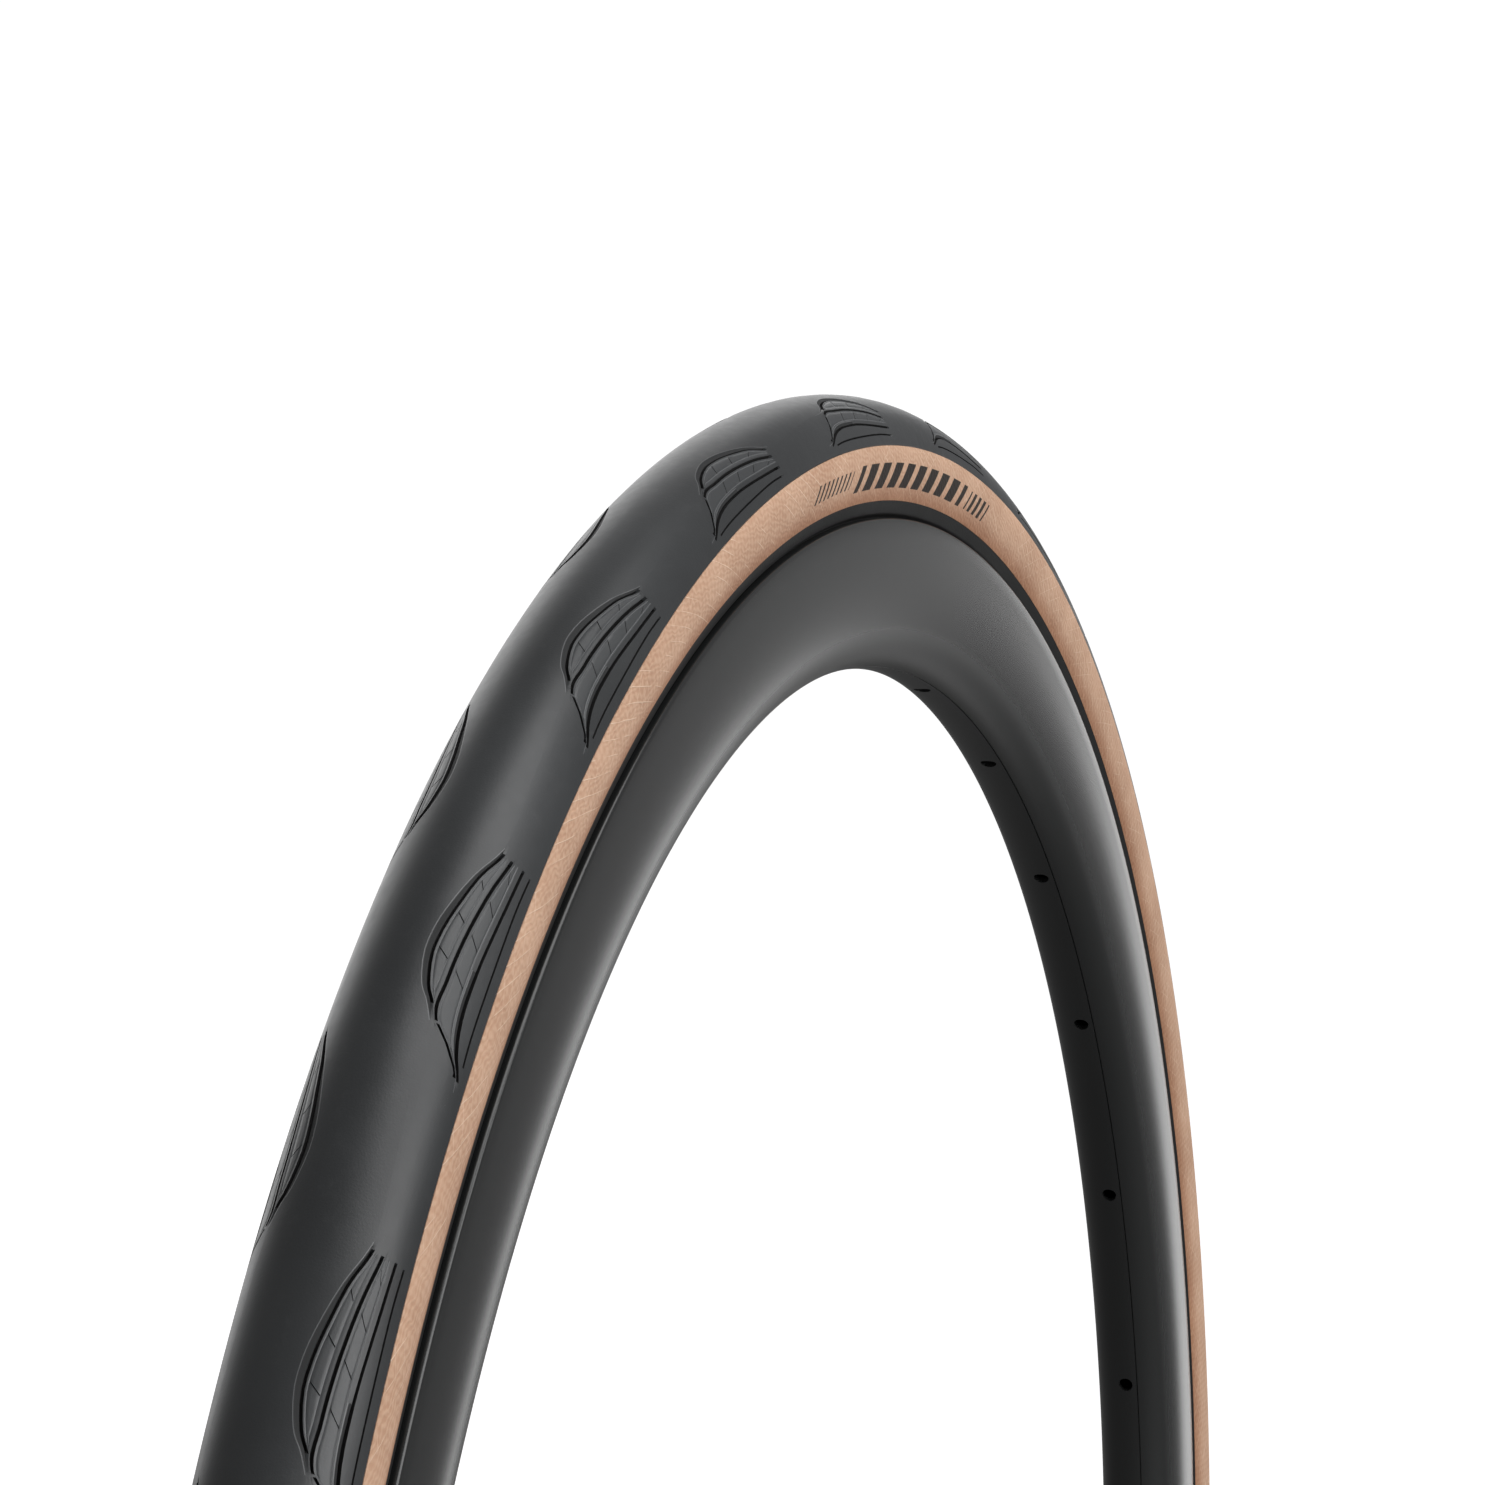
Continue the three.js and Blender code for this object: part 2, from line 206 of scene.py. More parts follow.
class Nodes:
    """Short names for building one material's node tree."""

    def __init__(self, name):
        self.material = bpy.data.materials.new(name)
        self.material.use_nodes = True
        self.tree = self.material.node_tree
        self.shader = self.tree.nodes["Principled BSDF"]

    def add(self, kind, inputs=None, **settings):
        node = self.tree.nodes.new(kind)
        for key, value in settings.items():
            setattr(node, key, value)
        for key, value in (inputs or {}).items():
            self.feed(node.inputs[key], value)
        return node

    def feed(self, socket, value):
        if isinstance(value, bpy.types.NodeSocket):
            self.tree.links.new(value, socket)
        else:
            socket.default_value = value

    def math(self, operation, *values, clamp=False):
        node = self.add("ShaderNodeMath", operation=operation, use_clamp=clamp)
        for socket, value in zip(node.inputs, values):
            self.feed(socket, value)
        return node.outputs[0]

    def mix(self, factor, a, b, blend="MIX"):
        node = self.add("ShaderNodeMix", data_type="RGBA", blend_type=blend)
        self.feed(node.inputs["Factor"], factor)
        self.feed(node.inputs[6], a)
        self.feed(node.inputs[7], b)
        return node.outputs[2]

    def uv(self, name):
        out = self.add("ShaderNodeUVMap", uv_map=name).outputs[0]
        split = self.add("ShaderNodeSeparateXYZ", {"Vector": out})
        return out, split.outputs[0], split.outputs[1]

    def noise(self, vector, scale, detail=3.0, roughness=0.5):
        return self.add(
            "ShaderNodeTexNoise",
            {"Vector": vector, "Scale": scale, "Detail": detail, "Roughness": roughness},
        ).outputs["Fac"]

    def ramp(self, value, low, high):
        node = self.add("ShaderNodeMapRange", interpolation_type="SMOOTHSTEP")
        for key, item in (("Value", value), ("From Min", low), ("From Max", high)):
            self.feed(node.inputs[key], item)
        return node.outputs[0]

    def stripe(self, value, pitch, width, soft):
        """1 on thin stripes of that width, at every pitch along the value."""
        offset = self.math("PINGPONG", value, pitch / 2)
        return self.ramp(offset, width / 2 + soft, width / 2 - soft)

    def bump(self, height, distance, strength=1.0):
        node = self.add("ShaderNodeBump", {"Strength": strength, "Distance": distance})
        self.feed(node.inputs["Height"], height)
        self.tree.links.new(node.outputs[0], self.shader.inputs["Normal"])
        return node

    def set(self, **values):
        names = {
            "color": "Base Color", "roughness": "Roughness", "metallic": "Metallic",
            "specular": "Specular IOR Level", "coat": "Coat Weight",
            "coat_roughness": "Coat Roughness", "sheen": "Sheen Weight",
            "sheen_roughness": "Sheen Roughness",
        }
        for key, value in values.items():
            self.feed(self.shader.inputs[names[key]], value)


def object_coordinates(nodes, scale=1.0):
    out = nodes.add("ShaderNodeTexCoord").outputs["Object"]
    if scale == 1.0:
        return out
    return nodes.add("ShaderNodeVectorMath", {0: out, 1: (scale,) * 3}, operation="MULTIPLY").outputs[0]


# What a face of the tread belongs to, kept as the second coordinate of its "zone" UV map
PLAIN, FACET, SLOPE, OUTLINE, CROSS, CUT = range(6)
# How far a zone read from the map may be from its whole number
SAME_ZONE = 0.3


def tread_rubber():
    n = Nodes("tread_rubber")
    point = object_coordinates(n)
    cloud = n.noise(point, 18, 4)
    grain = n.noise(point, 2600, 2)
    dust = n.noise(point, 420, 5, 0.65)
    color = n.mix(n.ramp(cloud, 0.35, 0.68), (0.019, 0.0205, 0.022, 1), (0.029, 0.031, 0.033, 1))
    color = n.mix(n.math("MULTIPLY", n.ramp(dust, 0.55, 0.8), 0.10), color, (0.09, 0.09, 0.09, 1))
    _, _, zone = n.uv("zone")
    # Zone tones: the facets are a shade lighter; the slopes, fine cross lines and cuts are painted shade,
    # and the outlines a painted highlight.
    tones_and_painted_light = [
        (FACET, 0.5, (0.05, 0.053, 0.056, 1)),
        # painted shade: the slopes are painted darker, as they fall into shade
        (SLOPE, 0.8, (0.006, 0.0065, 0.007, 1)),
        # painted highlight: pale outlines where the facet edges catch the light
        (OUTLINE, 0.6, (0.15, 0.155, 0.16, 1)),
        # painted shade: dark fine lines, as the shade in their narrow creases
        (CROSS, 0.7, (0.008, 0.008, 0.009, 1)),
        # painted shade: near black, as the shade deep inside the grooves
        (CUT, 1.0, (0.002, 0.002, 0.002, 1)),
    ]
    for code, amount, tone in tones_and_painted_light:
        here = n.math("COMPARE", zone, code, SAME_ZONE)
        color = n.mix(n.math("MULTIPLY", here, amount), color, tone)
    in_cut, in_slope = [n.math("COMPARE", zone, code, SAME_ZONE) for code in (CUT, SLOPE)]
    rough_zone = n.math("MAXIMUM", in_cut, n.math("MULTIPLY", in_slope, 0.75))
    roughness = n.math("ADD", n.math("MULTIPLY", dust, 0.14), 0.33)
    n.set(color=color, specular=0.5)
    n.set(roughness=n.math("MAXIMUM", roughness, rough_zone))
    n.bump(grain, 0.00003, 0.6)
    return n.material


# Woven look of the tan skin: pitches in mm, and leans as a rise in radius for each mm along
RIB_PITCH = 1.9
FIBRE_PITCH = 1.3
FIBRE_LEAN = 0.3
THREAD_LEAN = 0.6


def tan_cloth(printed):
    """Rubberised cotton: fibres along the band, fine cross ribs, long lighter threads that lean both ways,
    specks, painted shade that darkens it towards the rim, and maybe a print."""
    n = Nodes("tan_cloth_printed" if printed else "tan_cloth")
    uv, along, _ = n.uv("ring")
    _, _, radius = n.uv("polar")
    cloud = n.noise(uv, 0.045, 3)
    wander = n.math("MULTIPLY", n.math("SUBTRACT", n.noise(uv, 0.09, 2), 0.5), 0.9)
    forward = n.math("ADD", n.math("MULTIPLY", along, THREAD_LEAN), wander)
    one, other = n.math("SUBTRACT", forward, radius), n.math("ADD", forward, radius)
    fibres = n.math("SUBTRACT", n.math("MULTIPLY", along, FIBRE_LEAN), radius)
    fibres = n.math("ADD", fibres, n.math("MULTIPLY", n.noise(uv, 0.25, 3), 5))
    ribs, cross_ribs = [
        n.math("SINE", n.math("MULTIPLY", where, 2 * math.pi / pitch))
        for where, pitch in ((fibres, FIBRE_PITCH), (n.math("ADD", along, wander), RIB_PITCH))
    ]
    weave = n.math("ADD", n.math("MULTIPLY", ribs, n.noise(uv, 0.3, 2)), n.math("MULTIPLY", cross_ribs, 0.3))
    faint = n.math("MULTIPLY", n.stripe(other, 3.7, 0.2, 0.12), 0.5)
    long_threads = n.math("MAXIMUM", n.stripe(one, 3.3, 0.17, 0.1), faint)
    broken = n.ramp(n.noise(uv, 0.12, 2), 0.42, 0.58)
    long_threads = n.math("MULTIPLY", long_threads, broken)
    speck = n.ramp(n.noise(uv, 1.7, 3, 0.7), 0.66, 0.78)
    rib_light = n.math("MULTIPLY", n.ramp(weave, -0.8, 0.9), 0.26)
    color = n.mix(n.ramp(cloud, 0.3, 0.7), (0.47, 0.272, 0.176, 1), (0.57, 0.352, 0.238, 1))
    color = n.mix(rib_light, color, (0.80, 0.60, 0.44, 1))
    color = n.mix(n.math("MULTIPLY", long_threads, 0.5), color, (0.90, 0.74, 0.58, 1))
    color = n.mix(n.math("MULTIPLY", speck, 0.30), color, (0.22, 0.12, 0.07, 1))
    # Painted shade: the skin is painted darker towards the rim, where it meets the rim.
    inner = n.math("MULTIPLY", n.ramp(radius, 322.3, 316.6), 0.8)
    color = n.mix(inner, color, (0.66, 0.47, 0.36, 1), "MULTIPLY")
    if printed:
        color = n.mix(n.math("MULTIPLY", slanted_print(n), 0.97), color, (0.012, 0.012, 0.012, 1))
    n.set(color=color, roughness=0.75, specular=0.18, sheen=0.04, sheen_roughness=0.5)
    height = n.math("ADD", n.math("MULTIPLY", weave, 0.5), n.math("MULTIPLY", long_threads, 0.8))
    n.bump(height, 0.00008, 0.8)
    return n.material


# The print is a row of plain slanted bars. Each block is
# (first angle, last angle, lowest radius, highest radius, bar pitch, bar width) in degrees and mm.
PRINT_BLOCKS = [
    (102.7, 107.0, 321.0, 324.6, 0.52, 0.2),
    (87.2, 101.8, 319.8, 325.2, 1.62, 1.02),
    (83.7, 86.5, 320.0, 324.8, 0.7, 0.34),
]
# The slant is in degrees for each mm of radius, from the centre radius in mm
PRINT_SLANT = 0.16
PRINT_CENTRE = 323.2
# Half widths of the soft edges of a bar, in degrees and mm
ANGLE_SOFT = 0.02
RADIUS_SOFT = 0.06


def slanted_print(n):
    """The mask of the printed bars, from the angle and radius of each point."""
    _, angle, radius = n.uv("polar")
    lean = n.math("MULTIPLY", n.math("SUBTRACT", radius, PRINT_CENTRE), PRINT_SLANT)
    angle = n.math("ADD", angle, lean)
    ink = None
    for first, last, low, high, pitch, width in PRINT_BLOCKS:
        bars = n.stripe(n.math("SUBTRACT", angle, first), pitch, width, ANGLE_SOFT)
        begins = n.ramp(angle, first - ANGLE_SOFT, first + ANGLE_SOFT)
        ends = n.ramp(angle, last + ANGLE_SOFT, last - ANGLE_SOFT)
        foot = n.ramp(radius, low - RADIUS_SOFT, low + RADIUS_SOFT)
        head = n.ramp(radius, high + RADIUS_SOFT, high - RADIUS_SOFT)
        box = n.math("MULTIPLY", begins, ends)
        rows = n.math("MULTIPLY", foot, head)
        block = n.math("MULTIPLY", bars, n.math("MULTIPLY", box, rows))
        ink = block if ink is None else n.math("MAXIMUM", ink, block)
    return ink


def black_rubber(name="black_rubber", tone=0.006):
    n = Nodes(name)
    point = object_coordinates(n)
    fine = n.noise(point, 1900, 3)
    cloud = n.noise(point, 40, 3)
    color = n.mix(cloud, (tone, tone, tone, 1), (tone * 1.7, tone * 1.7, tone * 1.75, 1))
    n.set(color=color, specular=0.3)
    n.set(roughness=n.math("ADD", n.math("MULTIPLY", cloud, 0.2), 0.55))
    n.bump(fine, 0.00008, 0.6)
    return n.material


def carbon_clear_coat():
    n = Nodes("carbon_clear_coat")
    point = object_coordinates(n)
    _, _, radius = n.uv("polar")
    cloud = n.noise(point, 9, 3)
    flake = n.noise(point, 900, 2)
    color = n.mix(cloud, (0.0105, 0.0113, 0.0115, 1), (0.0145, 0.0155, 0.0155, 1))
    n.set(color=color, specular=0.5)
    duller = n.math("MULTIPLY", n.ramp(radius, 291, 284), 0.25)
    n.set(roughness=n.math("ADD", n.math("MULTIPLY", flake, 0.02), n.math("ADD", duller, 0.22)))
    n.bump(n.math("ADD", cloud, n.math("MULTIPLY", flake, 0.001)), 0.0003, 0.08)
    return n.material


def metal(name, color, roughness, metallic=1.0):
    n = Nodes(name)
    point = object_coordinates(n)
    turned = n.noise(point, 700, 3)
    worn = n.noise(point, 90, 4)
    pale = tuple(min(1, c * 1.35 + 0.02) for c in color[:3]) + (1,)
    n.set(color=n.mix(n.ramp(worn, 0.5, 0.75), color, pale), metallic=metallic)
    n.set(roughness=n.math("ADD", n.math("MULTIPLY", worn, 0.22), roughness))
    n.bump(turned, 0.00003, 0.5)
    return n.material


def yarn(name, color):
    n = Nodes(name)
    point = object_coordinates(n)
    strands = n.noise(point, 1500, 3)
    dark = tuple(c * 0.6 for c in color[:3]) + (1,)
    n.set(color=n.mix(strands, dark, color), roughness=0.8, sheen=0.2)
    n.bump(strands, 0.0001, 0.8)
    return n.material


# ---------------------------------------------------------------- tyre


def on_wall(radius):
    """The lower sidewall: it leaves the round section at its widest point."""
    return (radius, SECTION_RADIUS - WALL_SAG * (SECTION_CENTRE - radius) ** 2)


def motif_angle(m):
    """Angle around the wheel, in degrees, of a motif coordinate from 0 to MOTIF_COUNT."""
    swing = PITCH_SWING * np.sin(2 * math.pi * m / MOTIF_COUNT)
    return MOTIF_CENTRE + 360 / MOTIF_COUNT * m + swing


# The grooves of a motif, from the crown outwards. A line passes through (degrees along the motif,
# degrees down the section), and comes from and goes on to the section angles before and after. It is
# cut between the given degrees. The lag leans the rows of the mesh as the cross lines lean.
Groove = namedtuple("Groove", "line cuts half_width depth lag before after")
GROOVES = [
    Groove([(0, 43.9), (1.05, 34.6), (2.03, 29), (3.07, 24.2), (3.96, 22.6), (4.71, 25.2),
            (5.21, 28.8), (5.56, 33.4), (6.1, 37.4)], [(0, 5.56)], 0.28, 0.9, 0, 46, 40),
    Groove([(0.07, 51.4), (1.21, 46.1), (2.33, 42.3), (3.53, 39.5), (4.7, 38.4), (6.03, 39.6),
            (6.2, 43), (6.53, 51), (6.85, 57.5), (7.3, 65.4)],
           [(0.07, 6.03), (6.19, 7.3)], 0.32, 0.9, 0.5, 55, 60),
    Groove([(0.07, 62.4), (1.53, 60.4), (2.63, 58.6), (3.75, 56.9), (5.02, 56.5), (6.04, 58.3),
            (6.7, 62.3), (7.35, 69.2)], [(0.07, 7.35)], 0.28, 0.9, 1.25, 65, 71),
    Groove([(0.11, 70), (1.6, 68.8), (3.6, 69), (5.24, 69), (6.85, 70.4)],
           [(0.11, 6.85)], 0.2, 0.7, 1.25, 73, 75.5),
]
LEAD_IN = 1.5
RUN_OUT = 0.1
BAND_ENDS = (5.75, 7.2)
# Widths in mm of the slope on the crown side of the first and the third groove
FIRST_SLOPE = [(-0.2, 0.1), (0, 0.28), (1.05, 0.5), (2, 0.85), (3.2, 1.05), (4.3, 0.92), (5.3, 0.8),
               (5.9, 0.4), (6.15, 0.1)]
FIRST_SLOPE_CUT = [(-0.05, 5.9)]
THIRD_SLOPE_CUT = [(4.3, 7.3)]
# Fine lines across the facets, in degrees along the motif at the first groove
CROSS_LINES = [1.32 * k - 0.22 for k in range(5)]
CROSS_HALF = 0.024
# Gap from a groove to the fine outline of a facet, and the outline's width, in mm; the outline is a painted
# highlight
OUTLINE_OFFSET = 0.3
OUTLINE_WIDTH = 0.16
# Width in mm of the painted highlight outline on the crown side of a slope
SLOPE_OUTLINE = 0.14
# Even rows of the mesh along a motif, in degrees, and how close to a needed row they may come
FIRST_ROW, LAST_ROW, ROW_STEP = -1.2, 7.6, 0.4
ROW_CLEARANCE = 0.06
PER_MM = math.degrees(MM / SECTION_RADIUS)


def smooth_curve(points, x):
    """A curve through the points with soft bends (monotone cubic), sampled at x."""
    px, py = np.array(points, float).T
    slopes = np.diff(py) / np.diff(px)
    tangent = np.concatenate([[slopes[0]], (slopes[:-1] + slopes[1:]) / 2, [slopes[-1]]])
    tangent[1:-1][slopes[:-1] * slopes[1:] <= 0] = 0
    k = np.clip(np.searchsorted(px, x) - 1, 0, len(px) - 2)
    h = px[k + 1] - px[k]
    t = np.clip((x - px[k]) / h, 0, 1)
    return (
        py[k] * (1 + 2 * t) * (1 - t) ** 2 + tangent[k] * h * t * (1 - t) ** 2
        + py[k + 1] * t * t * (3 - 2 * t) + tangent[k + 1] * h * t * t * (t - 1)
    )


def wrapped(along):
    return (along + LEAD_IN) % MOTIF_SPAN - LEAD_IN


def groove_angle(groove, along):
    """The section angle of a groove's line. Between two motifs it runs on without a cut."""
    start, end = groove.line[0][0] - LEAD_IN, groove.line[-1][0] + LEAD_IN
    path = [(start, groove.before), *groove.line, (end, groove.after),
            (MOTIF_SPAN - LEAD_IN, groove.before)]
    return smooth_curve(path, wrapped(along))


def cut_share(cuts, along, run_out=RUN_OUT):
    """1 inside the cuts and 0 outside them."""
    along = wrapped(along)
    shares = [np.minimum(along - first, last - along) / run_out + 0.5 for first, last in cuts]
    return np.clip(np.max(shares, 0), 0, 1)


def motif_rows():
    """Where the mesh has a row of vertices, in degrees along one pitch, for both sides at once."""
    special = [line + step for line in CROSS_LINES for step in (-CROSS_HALF, 0, CROSS_HALF)]
    for groove in GROOVES:
        for end in np.ravel(groove.cuts):
            special += [end - groove.lag - RUN_OUT / 2, end - groove.lag + RUN_OUT / 2]
    special = np.array(special)
    even = np.arange(FIRST_ROW, LAST_ROW, ROW_STEP)
    clear = np.abs(even[:, None] - special).min(1) > ROW_CLEARANCE
    near = np.concatenate([special, even[clear]])
    both = np.concatenate([near, near + MOTIF_SPAN * FAR_SHIFT]) % MOTIF_SPAN
    return np.unique(both)


def half_tread(row):
    """The columns of one side from the crown to the tread's edge, at every row: section angles,
    depths in mm, lags, and the zones of the faces between neighbouring columns."""
    row = wrapped(row)
    angles, depths, lags, zones = [], [], [], []

    def column(lag, angle, depth=0.0, zone=PLAIN):
        angles.append(angle)
        depths.append(depth + 0 * row)
        lags.append(lag)
        zones.append(zone + 0 * row)

    def in_motif(band, lag, zone, other=PLAIN):
        along = wrapped(row + lag)
        return np.where((along > 0.05) & (along < BAND_ENDS[band]), zone, other)

    def groove(k, slope_width, slope_share):
        """A slope, the cut itself and the surface beyond it."""
        g = GROOVES[k]
        along = row + g.lag
        middle = groove_angle(g, along)
        share = cut_share(g.cuts, along)
        half = g.half_width * PER_MM
        sloping = slope_share > 0.01
        cut = np.where(share > 0.01, CUT, PLAIN)
        top = middle - half - slope_width * PER_MM
        column(g.lag, top - SLOPE_OUTLINE * PER_MM, 0, np.where(sloping, OUTLINE, PLAIN))
        column(g.lag, top, 0, np.where(sloping, CROSS, PLAIN))
        column(g.lag, top + 0.1 * PER_MM, 0.03 * slope_share, np.where(sloping, SLOPE, PLAIN))
        column(g.lag, middle - half, 0.22 * slope_share, cut)
        column(g.lag, middle - half * 0.75, np.maximum(g.depth * share, 0.15 * slope_share), cut)
        column(g.lag, middle + half * 0.75, g.depth * share, cut)
        column(g.lag, middle + half, 0, in_motif(k, g.lag, FACET) if k < 2 else PLAIN)

    def facets(k, lines, before, middles):
        """The fine outlines along both sides of a band and the facets between them."""
        here, there = GROOVES[k], GROOVES[k + 1]

        def place_at(share, from_here=None, from_there=None):
            lag = here.lag + (there.lag - here.lag) * share
            start = groove_angle(here, row + lag) + here.half_width * PER_MM
            end = groove_angle(there, row + lag) - there.half_width * PER_MM
            scale = np.clip((end - start) / PER_MM / 1.6, 0.05, 1)
            first = start + (OUTLINE_OFFSET + OUTLINE_WIDTH) * scale * PER_MM
            last = end - (before + OUTLINE_WIDTH) * scale * PER_MM
            if from_here is not None:
                return lag, start + (OUTLINE_OFFSET + from_here) * scale * PER_MM
            if from_there is not None:
                return lag, end - (before + from_there) * scale * PER_MM
            return lag, first + (last - first) * (share - 0.15) / 0.57

        crossed = np.max([np.clip(1 - np.abs(row - c) / CROSS_HALF, 0, 1) for c in lines], 0)
        near_line = [(row > c - CROSS_HALF - 1e-6) & (row < c + CROSS_HALF - 1e-6) for c in lines]
        on_line = np.any(near_line, 0)
        for share, offset in ((0.11, 0), (0.13, OUTLINE_WIDTH / 2)):
            lag, angle = place_at(share, from_here=offset)
            deep = in_motif(k, lag, 0.05, 0) if offset else 0
            column(lag, angle, deep, in_motif(k, lag, OUTLINE))
        for share in np.linspace(0.15, 0.72, middles):
            lag, angle = place_at(share)
            zone = np.where(on_line, CROSS, FACET)
            column(lag, angle, in_motif(k, lag, 0.13 * crossed, 0), in_motif(k, lag, zone))
        zones[-1] = in_motif(k, lags[-1], OUTLINE)
        lag, angle = place_at(0.74, from_there=OUTLINE_WIDTH / 2)
        column(lag, angle, in_motif(k, lag, 0.05, 0), in_motif(k, lag, OUTLINE))
        lag, angle = place_at(0.76, from_there=0)
        column(lag, angle, 0, in_motif(k, lag, FACET))

    first_slope = smooth_curve(FIRST_SLOPE, row)
    first_reach = GROOVES[0].half_width + first_slope + SLOPE_OUTLINE
    crown = groove_angle(GROOVES[0], row) - first_reach * PER_MM
    for share in np.linspace(0, 1, 6)[:-1]:
        column(0, crown * share)
    groove(0, first_slope, cut_share(FIRST_SLOPE_CUT, row, 0.5))
    facets(0, CROSS_LINES[1:], 0.75, 4)
    groove(1, 0.08, 0 * row)
    facets(1, CROSS_LINES[:4], 0.95, 6)
    third = row + GROOVES[2].lag
    third_width = np.clip((7.6 - wrapped(third)) * 0.5, 0.12, 0.6)
    groove(2, third_width, cut_share(THIRD_SLOPE_CUT, third, 0.8))
    lag = GROOVES[3].lag
    between = [groove_angle(GROOVES[k], row + lag) for k in (2, 3)]
    column(lag, between[0] * 0.6 + between[1] * 0.4)
    groove(3, 0.08, 0 * row)
    edge = math.degrees(TREAD_EDGE)
    outer = groove_angle(GROOVES[3], row + lag)
    column(lag, (outer + edge) / 2)
    column(lag, edge - 0.6 + 0 * row)
    column(lag, edge + 0 * row, 0.12)
    column(lag, edge + 0 * row, 0.9)
    return np.array(angles), np.array(depths), np.array(lags), np.array(zones)


def build_tread():
    rows = motif_rows()
    turn = (np.arange(MOTIF_COUNT)[:, None] + rows / MOTIF_SPAN).ravel()
    near = half_tread(rows)
    far = half_tread(rows - MOTIF_SPAN * FAR_SHIFT)
    edge_lag = near[2][-1]
    under_angle = np.tile(np.array([[74.0], [40], [0], [-40], [-74]]), (1, len(rows)))
    under_depth = np.tile(np.array([[1.4], [2.0], [2.2], [2.0], [1.4]]), (1, len(rows)))
    angle = np.vstack([-near[0][::-1], far[0][1:], under_angle])
    depth = np.vstack([near[1][::-1], far[1][1:], under_depth]) * MM
    lag = np.concatenate([near[2][::-1], far[2][1:], np.full(5, edge_lag)])
    zone = np.vstack([near[3][:-1][::-1], far[3][:-1], np.zeros((6, len(rows)))])

    def all_round(columns):
        return np.tile(columns, (1, MOTIF_COUNT)).T

    angle, depth, zone = np.radians(all_round(angle)), all_round(depth), all_round(zone)
    theta = np.radians(motif_angle(turn[:, None] + lag / MOTIF_SPAN))
    reach = SECTION_RADIUS - depth
    r, y = SECTION_CENTRE + reach * np.cos(angle), reach * np.sin(angle)
    verts = np.stack([r * np.cos(theta), y, r * np.sin(theta)], -1).reshape(-1, 3)
    faces, _, _ = grid_faces(*angle.shape)
    along = ((turn % 1)[:, None] * MOTIF_SPAN + lag).ravel()
    codes = np.repeat(zone.ravel()[:, None], 4, 1)
    obj = mesh_object("tread_moulded", verts, faces, [np.stack([along[faces], codes], -1)], ("zone",))
    obj.data.set_sharp_from_angle(angle=math.radians(40))
    return obj


def sidewall_outline():
    top = np.radians(np.linspace(79.3, 90, 5))
    arc = [(SECTION_CENTRE + SECTION_RADIUS * math.cos(a), SECTION_RADIUS * math.sin(a)) for a in top]
    lower = [on_wall(r) for r in np.linspace(SECTION_CENTRE - 0.0008, TAN_EDGE + 0.00005, 12)]
    return thick(arc + lower, 0.8 * MM)


def rim_strip_outline():
    line = fillet(
        [on_wall(TAN_EDGE), (314.2 * MM, 10.75 * MM), (313.5 * MM, 9.5 * MM), (311.6 * MM, 9.3 * MM)],
        [0.8 * MM, 0.5 * MM],
    )
    return thick(line, 0.5 * MM)


# ---------------------------------------------------------------- rim


# The valve's place around the wheel, in degrees
VALVE_ANGLE = 270
VALVE_HOLE_RADIUS = 3.3 * MM
SPOKE_HOLE_RADIUS = 2 * MM
ACCESS_HOLE_RADIUS = 3.8 * MM
# Where a drill starts and ends, as distances from the wheel axis
THROUGH_RIM = (270 * MM, 320 * MM)
THROUGH_BED = (270 * MM, 291 * MM)
THROUGH_CHANNEL = (303 * MM, 320 * MM)
# The seam's distance from the centre plane, its half width and its depth
RIM_SEAM = 3.3 * MM
SEAM_HALF = 0.18 * MM
SEAM_DEPTH = 0.3 * MM


def rim_half(wall=0.0, seam=False):
    """Half of the rim's outer outline from its widest line to the middle of the spoke bed: a flank
    that bends in more and more, a round nose, and maybe the fine seam that the mould leaves."""
    nose_top = NOSE_CENTRE - NOSE_RADIUS * math.sin(NOSE_START)
    height = RIM_WIDEST_RADIUS - nose_top
    drop = RIM_HALF_WIDTH - NOSE_RADIUS * math.cos(NOSE_START)
    bend = math.tan(NOSE_START) * height / drop
    below = np.linspace(0, 1, 14)[:-1]
    side = zip(RIM_WIDEST_RADIUS - below * height, RIM_HALF_WIDTH - wall - drop * below**bend)
    turns = np.linspace(NOSE_START, math.pi / 2, 16)
    deep = np.zeros(len(turns))
    if seam:
        lips = np.arccos((RIM_SEAM + SEAM_HALF * np.array([1, 0, -1])) / NOSE_RADIUS)
        order = np.argsort(np.append(turns, lips))
        turns = np.append(turns, lips)[order]
        deep = np.append(deep, [0, SEAM_DEPTH, 0])[order]
    reach = NOSE_RADIUS - wall - deep
    return list(side) + list(zip(NOSE_CENTRE - reach * np.sin(turns), reach * np.cos(turns)))


def rim_outline():
    floor = SEAT_RADIUS - 2.4 * MM
    bed = fillet(
        [
            (floor, 0), (floor, 3.2 * MM), (SEAT_RADIUS, 4.4 * MM),
            (SEAT_RADIUS, CHANNEL_HALF_WIDTH - 0.5 * MM), (313.2 * MM, CHANNEL_HALF_WIDTH - 0.3 * MM),
            (313.4 * MM, RIM_HALF_WIDTH), (RIM_WIDEST_RADIUS, RIM_HALF_WIDTH),
        ],
        [0.8 * MM, 0.5 * MM, 0.5 * MM, 0.3 * MM, 0.9 * MM],
    )
    far, near = bed + rim_half()[1:], mirrored(bed + rim_half(seam=True)[1:])
    return far[:-1] + near[::-1][:-1]


def rim_cavity():
    wall = 1.6 * MM
    half = [(SEAT_RADIUS - 4 * MM, 0), (SEAT_RADIUS - 4 * MM, 2.8 * MM), (309.3 * MM, 5 * MM),
            (309.3 * MM, RIM_HALF_WIDTH - wall)] + rim_half(wall)
    return half[:-1] + mirrored(half)[::-1][:-1]


